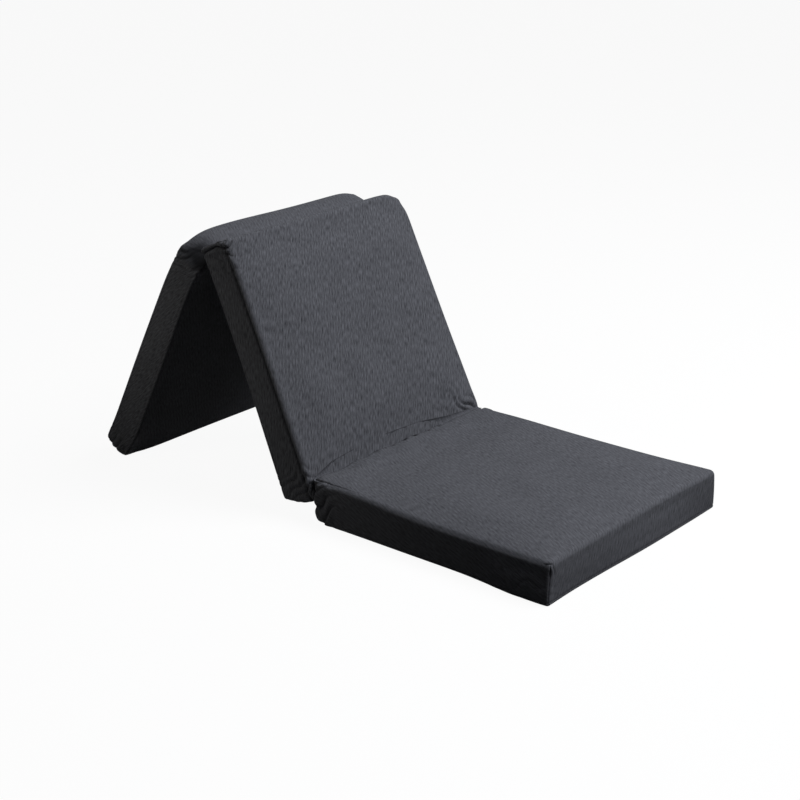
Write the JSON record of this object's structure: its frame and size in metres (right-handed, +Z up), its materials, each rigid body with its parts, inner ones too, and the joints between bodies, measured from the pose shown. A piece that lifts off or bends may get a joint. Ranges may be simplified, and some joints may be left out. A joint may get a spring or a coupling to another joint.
{
  "type": "folding mattress",
  "caption": "Folding foam mattress in three zipped, fabric-covered sections on sewn webs, stood up as a floor seat with a tent-shaped back.",
  "frame": {"origin": "centre of the underside of the section that lies on the floor", "axes": "+X along the length, from the tent-shaped back to the free end of the section on the floor; +Y across the width, towards the zips; +Z up"},
  "size_m": [1.4008, 0.6062, 0.6501],
  "materials": {
    "cover_cloth": "matt charcoal twill with a fine rib along each section",
    "underside_cloth": "matt black woven underside cloth",
    "web_cloth": "matt charcoal twill",
    "foam": "open-cell cream foam",
    "zip_tape": "matt woven tape",
    "zip_teeth": "moulded black teeth",
    "zip_metal": "dark painted die casting"
  },
  "bodies": {
    "front": {"front_cover": "cover_cloth", "front_cover_base": "underside_cloth", "front_foam_core": "foam", "front_web": "web_cloth", "front_zip_tape_lower": "zip_tape", "front_zip_tape_upper": "zip_tape", "front_zip_teeth_lower": "zip_teeth", "front_zip_teeth_upper": "zip_teeth", "front_zip_stop_closed": "zip_metal", "front_zip_stop_open_lower": "zip_metal", "front_zip_stop_open_upper": "zip_metal"},
    "middle": {"middle_cover": "cover_cloth", "middle_cover_base": "underside_cloth", "middle_foam_core": "foam", "middle_fold_strip": "web_cloth", "middle_ridge_strip": "web_cloth", "middle_zip_tape_lower": "zip_tape", "middle_zip_tape_upper": "zip_tape", "middle_zip_teeth_lower": "zip_teeth", "middle_zip_teeth_upper": "zip_teeth", "middle_zip_stop_closed": "zip_metal", "middle_zip_stop_open_lower": "zip_metal", "middle_zip_stop_open_upper": "zip_metal"},
    "rear": {"rear_cover": "cover_cloth", "rear_cover_base": "underside_cloth", "rear_foam_core": "foam", "rear_web": "web_cloth", "rear_zip_tape_lower": "zip_tape", "rear_zip_tape_upper": "zip_tape", "rear_zip_teeth_lower": "zip_teeth", "rear_zip_teeth_upper": "zip_teeth", "rear_zip_stop_closed": "zip_metal", "rear_zip_stop_open_lower": "zip_metal", "rear_zip_stop_open_upper": "zip_metal"},
    "front_slider": {"front_zip_slider": "zip_metal"},
    "front_pull": {"front_zip_pull": "zip_metal"},
    "middle_slider": {"middle_zip_slider": "zip_metal"},
    "middle_pull": {"middle_zip_pull": "zip_metal"},
    "rear_slider": {"rear_zip_slider": "zip_metal"},
    "rear_pull": {"rear_zip_pull": "zip_metal"}
  },
  "joints": [
    {"name": "front_fold", "type": "hinge", "parent": "front", "child": "middle", "pos_m": [-0.356, 0, 0.0938], "axis": [0, 1, 0], "range_deg": [-67.6, 109.4]},
    {"name": "ridge_fold", "type": "hinge", "parent": "middle", "child": "rear", "pos_m": [-0.66167, 0, 0.58455], "axis": [0, 1, 0], "range_deg": [-52.6, 127.3]},
    {"name": "front_zip_run", "type": "slide", "parent": "front", "child": "front_slider", "axis": [-1, 0, 0], "range_m": [0, 0.417]},
    {"name": "front_pull_swing", "type": "hinge", "parent": "front_slider", "child": "front_pull", "pos_m": [0.2085, 0.30353, 0.0297], "axis": [0, 0, 1], "range_deg": [-4, 184]},
    {"name": "middle_zip_run", "type": "slide", "parent": "middle", "child": "middle_slider", "axis": [-0.3811, 0, 0.9245], "range_m": [0, 0.417]},
    {"name": "middle_pull_swing", "type": "hinge", "parent": "middle_slider", "child": "middle_pull", "pos_m": [-0.44483, 0.30353, 0.14112], "axis": [0.9245, 0, 0.3811], "range_deg": [-4, 184]},
    {"name": "rear_zip_run", "type": "slide", "parent": "rear", "child": "rear_slider", "axis": [0.5043, 0, 0.8635], "range_m": [0, 0.417]},
    {"name": "rear_pull_swing", "type": "hinge", "parent": "rear_slider", "child": "rear_pull", "pos_m": [-0.97459, 0.30353, 0.11126], "axis": [0.8635, 0, -0.5043], "range_deg": [-4, 184]}
  ]
}
